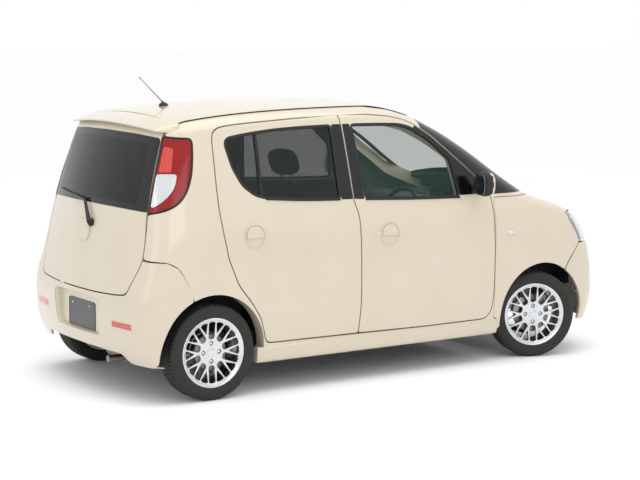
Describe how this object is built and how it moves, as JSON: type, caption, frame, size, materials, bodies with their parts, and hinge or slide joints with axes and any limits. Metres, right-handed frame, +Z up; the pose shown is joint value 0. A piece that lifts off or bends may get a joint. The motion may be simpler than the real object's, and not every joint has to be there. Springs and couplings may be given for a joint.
{
  "type": "kei car",
  "caption": "Tall five-door microcar hatchback with opening doors, bonnet and tailgate, steered and rolling wheels, and a furnished right-hand-drive cabin.",
  "frame": {"origin": "on the ground, under the middle of the overall box", "axes": "+X forward, +Y to the car's left, +Z up"},
  "size_m": [3.3938, 1.724, 1.7576],
  "materials": {
    "body_paint": "pearl clear coat",
    "tinted_glass": "green tint",
    "privacy_glass": "dark privacy tint",
    "black_plastic": "fine grain",
    "lamp_clear": "clear polycarbonate",
    "lamp_red": "red lens",
    "plate": "blank white",
    "underbody": "sealed and painted",
    "dash_plastic": "grained",
    "seat_fabric": "woven",
    "cast_block": "as cast",
    "chassis_steel": "black dip coat",
    "exhaust_steel": "dull",
    "wheel_alloy": "silver lacquer",
    "tyre": "rubber"
  },
  "bodies": {
    "chassis": {"floor_pan": "underbody", "side_frames": "body_paint", "roof_panel": "body_paint", "cowl": "black_plastic", "fenders": "body_paint", "front_bumper": "body_paint", "grille": "black_plastic", "rear_bumper": "body_paint", "side_skirts": "body_paint", "headlamps": "lamp_clear", "tail_lamps": "lamp_red", "number_plate": "plate", "antenna": "black_plastic", "dashboard": "dash_plastic", "front_seats": "seat_fabric", "rear_seat": "seat_fabric", "windscreen": "tinted_glass", "engine_block": "cast_block", "front_subframe": "chassis_steel", "rear_axle": "chassis_steel", "exhaust": "exhaust_steel", "fuel_tank": "black_plastic"},
    "bonnet_lid": {"bonnet": "body_paint"},
    "tailgate_lid": {"tailgate": "body_paint", "tailgate_glass": "privacy_glass", "rear_wiper": "black_plastic"},
    "door_front_left": {"front_door_left": "body_paint", "front_glass_left": "tinted_glass"},
    "door_front_right": {"front_door_right": "body_paint", "front_glass_right": "tinted_glass"},
    "door_rear_left": {"rear_door_left": "body_paint", "rear_glass_left": "privacy_glass"},
    "door_rear_right": {"rear_door_right": "body_paint", "rear_glass_right": "privacy_glass"},
    "steering": {"steering_wheel": "dash_plastic"},
    "hub_left": {"knuckle_left": "chassis_steel"},
    "hub_right": {"knuckle_right": "chassis_steel"},
    "wheel_front_left": {"rim_front_left": "wheel_alloy", "tyre_front_left": "tyre"},
    "wheel_front_right": {"rim_front_right": "wheel_alloy", "tyre_front_right": "tyre"},
    "wheel_rear_left": {"rim_rear_left": "wheel_alloy", "tyre_rear_left": "tyre"},
    "wheel_rear_right": {"rim_rear_right": "wheel_alloy", "tyre_rear_right": "tyre"}
  },
  "joints": [
    {"name": "steer_left", "type": "hinge", "parent": "chassis", "child": "hub_left", "pos_m": [1.1475, 0.5925, 0.2685], "axis": [0, 0, 1], "range_deg": [-16, 53.9]},
    {"name": "steer_right", "type": "hinge", "parent": "chassis", "child": "hub_right", "pos_m": [1.1475, -0.5925, 0.2685], "axis": [0, 0, 1], "range_deg": [-16.2, 54.1]},
    {"name": "steering_turn", "type": "hinge", "parent": "chassis", "child": "steering", "pos_m": [0.33, -0.31, 0.905], "axis": [-0.8988, 0, 0.4384], "range_deg": [-247, 831]},
    {"name": "spin_front_left", "type": "hinge", "parent": "hub_left", "child": "wheel_front_left", "pos_m": [1.16698, 0.64925, 0.2685], "axis": [0.3247, 0.9458, 0], "continuous": true},
    {"name": "spin_front_right", "type": "hinge", "parent": "hub_right", "child": "wheel_front_right", "pos_m": [1.12802, -0.64925, 0.2685], "axis": [0.3247, 0.9458, 0], "continuous": true},
    {"name": "spin_rear_left", "type": "hinge", "parent": "chassis", "child": "wheel_rear_left", "pos_m": [-1.2125, 0.65, 0.2685], "axis": [0, 1, 0], "continuous": true},
    {"name": "spin_rear_right", "type": "hinge", "parent": "chassis", "child": "wheel_rear_right", "pos_m": [-1.2125, -0.65, 0.2685], "axis": [0, 1, 0], "continuous": true},
    {"name": "open_front_left", "type": "hinge", "parent": "chassis", "child": "door_front_left", "pos_m": [0.768, 0.7395, 0.65], "axis": [0, 0, -1], "range_deg": [0, 65]},
    {"name": "open_front_right", "type": "hinge", "parent": "chassis", "child": "door_front_right", "pos_m": [0.768, -0.7395, 0.65], "axis": [0, 0, 1], "range_deg": [0, 65]},
    {"name": "open_rear_left", "type": "hinge", "parent": "chassis", "child": "door_rear_left", "pos_m": [-0.2255, 0.7395, 0.65], "axis": [0, 0, -1], "range_deg": [0, 70]},
    {"name": "open_rear_right", "type": "hinge", "parent": "chassis", "child": "door_rear_right", "pos_m": [-0.2255, -0.7395, 0.65], "axis": [0, 0, 1], "range_deg": [0, 70]},
    {"name": "open_tailgate", "type": "hinge", "parent": "chassis", "child": "tailgate_lid", "pos_m": [-1.3415, 0, 1.5665], "axis": [0, 1, 0], "range_deg": [0, 80]},
    {"name": "open_bonnet", "type": "hinge", "parent": "chassis", "child": "bonnet_lid", "pos_m": [1.118, 0, 1.013], "axis": [0, -1, 0], "range_deg": [0, 50]}
  ],
  "couplings": [
    {"joint": "steer_right", "follows": "steer_left", "ratio": 1},
    {"joint": "steering_turn", "follows": "steer_left", "ratio": 15.4}
  ]
}
